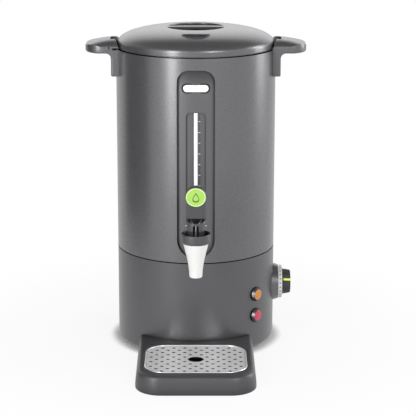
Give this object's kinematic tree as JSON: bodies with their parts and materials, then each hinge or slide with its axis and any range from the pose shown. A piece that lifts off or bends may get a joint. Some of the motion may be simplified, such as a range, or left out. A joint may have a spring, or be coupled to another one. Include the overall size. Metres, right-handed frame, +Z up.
{
  "type": "hot water urn",
  "caption": "Round free-standing hot water urn with a twist-lock lid, side handles, level gauge, lever tap, thermostat knob, lamps and a drip tray.",
  "frame": {"origin": "middle of the object's footprint with its drip tray, on the surface that it stands on", "axes": "+Z up, -Y towards the tap and the drip tray, +X towards the thermostat knob"},
  "size_m": [0.317, 0.386, 0.463],
  "materials": {
    "body_paint": "fine satin grey metallic paint",
    "recess_plastic": "fine satin grey plastic, coloured like the body",
    "handle_plastic": "satin grey moulding",
    "dark_plastic": "dark grey satin moulding",
    "black_rubber": "matte black",
    "silicone": "translucent white silicone",
    "badge_metal": "plain bright plate with a dark edge",
    "gauge_glass": "clear tube over a white backing, reads white",
    "scale_white": "white moulding",
    "white_plastic": "white glossy moulding",
    "chrome": "polished chrome plating",
    "steel": "brushed stainless steel",
    "zinc_steel": "zinc-plated steel",
    "heat_aluminium": "plain rolled aluminium",
    "element_sheath": "heat-darkened steel sheath",
    "brass": "bare brass",
    "ivory_plastic": "ivory heat-proof moulding",
    "wire_red": "silicone-insulated leads",
    "black_plastic": "black moulding",
    "button_red": "red moulding",
    "marker_yellow": "yellow-green inlay",
    "disc_green": "light green disc with a pale raised rim",
    "lens_orange": "clear orange lens",
    "lens_red": "clear red lens"
  },
  "bodies": {
    "urn_body": {"jacket": "body_paint", "base_shell": "body_paint", "recess_panel": "recess_plastic", "handle_left": "handle_plastic", "handle_right": "handle_plastic", "top_ring": "dark_plastic", "dial_bezel": "dark_plastic", "tap_bonnet": "dark_plastic", "seam_ring": "black_rubber", "feet": "black_rubber", "lamp_seals": "black_rubber", "tap_washers": "black_rubber", "badge_plate": "badge_metal", "gauge_tube": "gauge_glass", "level_scale": "scale_white", "dial_ring": "scale_white", "tap_body": "white_plastic", "gauge_elbow": "chrome", "lamp_bezels": "chrome", "tank": "steel", "deck_ring": "steel", "base_plate": "steel", "handle_plates": "steel", "bulb_clip": "steel", "base_screws": "zinc_steel", "tie_bolts": "zinc_steel", "dial_nut": "zinc_steel", "lamp_nuts": "zinc_steel", "inlet_screws": "zinc_steel", "handle_screws": "zinc_steel", "tap_spring": "zinc_steel", "heat_plate": "heat_aluminium", "heating_element": "element_sheath", "inlet_pins": "brass", "tap_nut": "brass", "capillary": "brass", "thermostat": "ivory_plastic", "terminal_block": "ivory_plastic", "cutout": "ivory_plastic", "wires": "wire_red", "power_inlet": "black_plastic", "lamp_orange": "lens_orange", "lamp_red": "lens_red"},
    "knob_body": {"knob": "dark_plastic", "knob_marker": "marker_yellow", "thermostat_shaft": "zinc_steel"},
    "lever_body": {"tap_lever": "dark_plastic", "tap_pins": "chrome", "tap_disc": "disc_green"},
    "stem_body": {"tap_stem": "chrome", "seat_cup": "silicone"},
    "lid_base": {"lid_pan": "steel", "lid_seal": "silicone"},
    "lid_top": {"lid_cover": "body_paint", "grip_cup": "dark_plastic", "lid_vent": "dark_plastic", "lid_screw": "zinc_steel"},
    "button_body": {"reset_button": "button_red"},
    "tray_body": {"drip_tray": "dark_plastic"},
    "grille_body": {"grille": "steel"}
  },
  "joints": [
    {"name": "knob_turn", "type": "hinge", "parent": "urn_body", "child": "knob_body", "pos_m": [0, 0.075, 0.0808], "axis": [1, 0, 0], "range_deg": [-201, 69]},
    {"name": "lever_pull", "type": "hinge", "parent": "urn_body", "child": "lever_body", "pos_m": [0, -0.094, 0.211], "axis": [1, 0, 0], "range_deg": [0, 30], "stiffness_Nm_per_rad": 0.05, "springref_deg": -14.32},
    {"name": "stem_lift", "type": "slide", "parent": "urn_body", "child": "stem_body", "axis": [0, 0, 1], "range_m": [0, 0.00245], "stiffness_N_per_m": 5, "springref_m": -0.0005, "deforming": ["tap_spring"]},
    {"name": "lid_lift", "type": "slide", "parent": "urn_body", "child": "lid_base", "axis": [0, 0, 1], "range_m": [0, 0.15]},
    {"name": "lid_turn", "type": "hinge", "parent": "lid_base", "child": "lid_top", "pos_m": [0, 0.075, 0.445], "axis": [0, 0, 1], "range_deg": [0, 11]},
    {"name": "reset_press", "type": "slide", "parent": "urn_body", "child": "button_body", "axis": [0, 0, 1], "range_m": [0, 0.0025], "stiffness_N_per_m": 400, "springref_m": -0.001},
    {"name": "tray_slide", "type": "slide", "parent": "urn_body", "child": "tray_body", "axis": [0, -1, 0], "range_m": [0, 0.15]},
    {"name": "grille_lift", "type": "slide", "parent": "tray_body", "child": "grille_body", "axis": [0, 0, 1], "range_m": [0, 0.08]}
  ],
  "couplings": [
    {"joint": "stem_lift", "follows": "lever_pull", "m_per_rad": 0.0046}
  ]
}
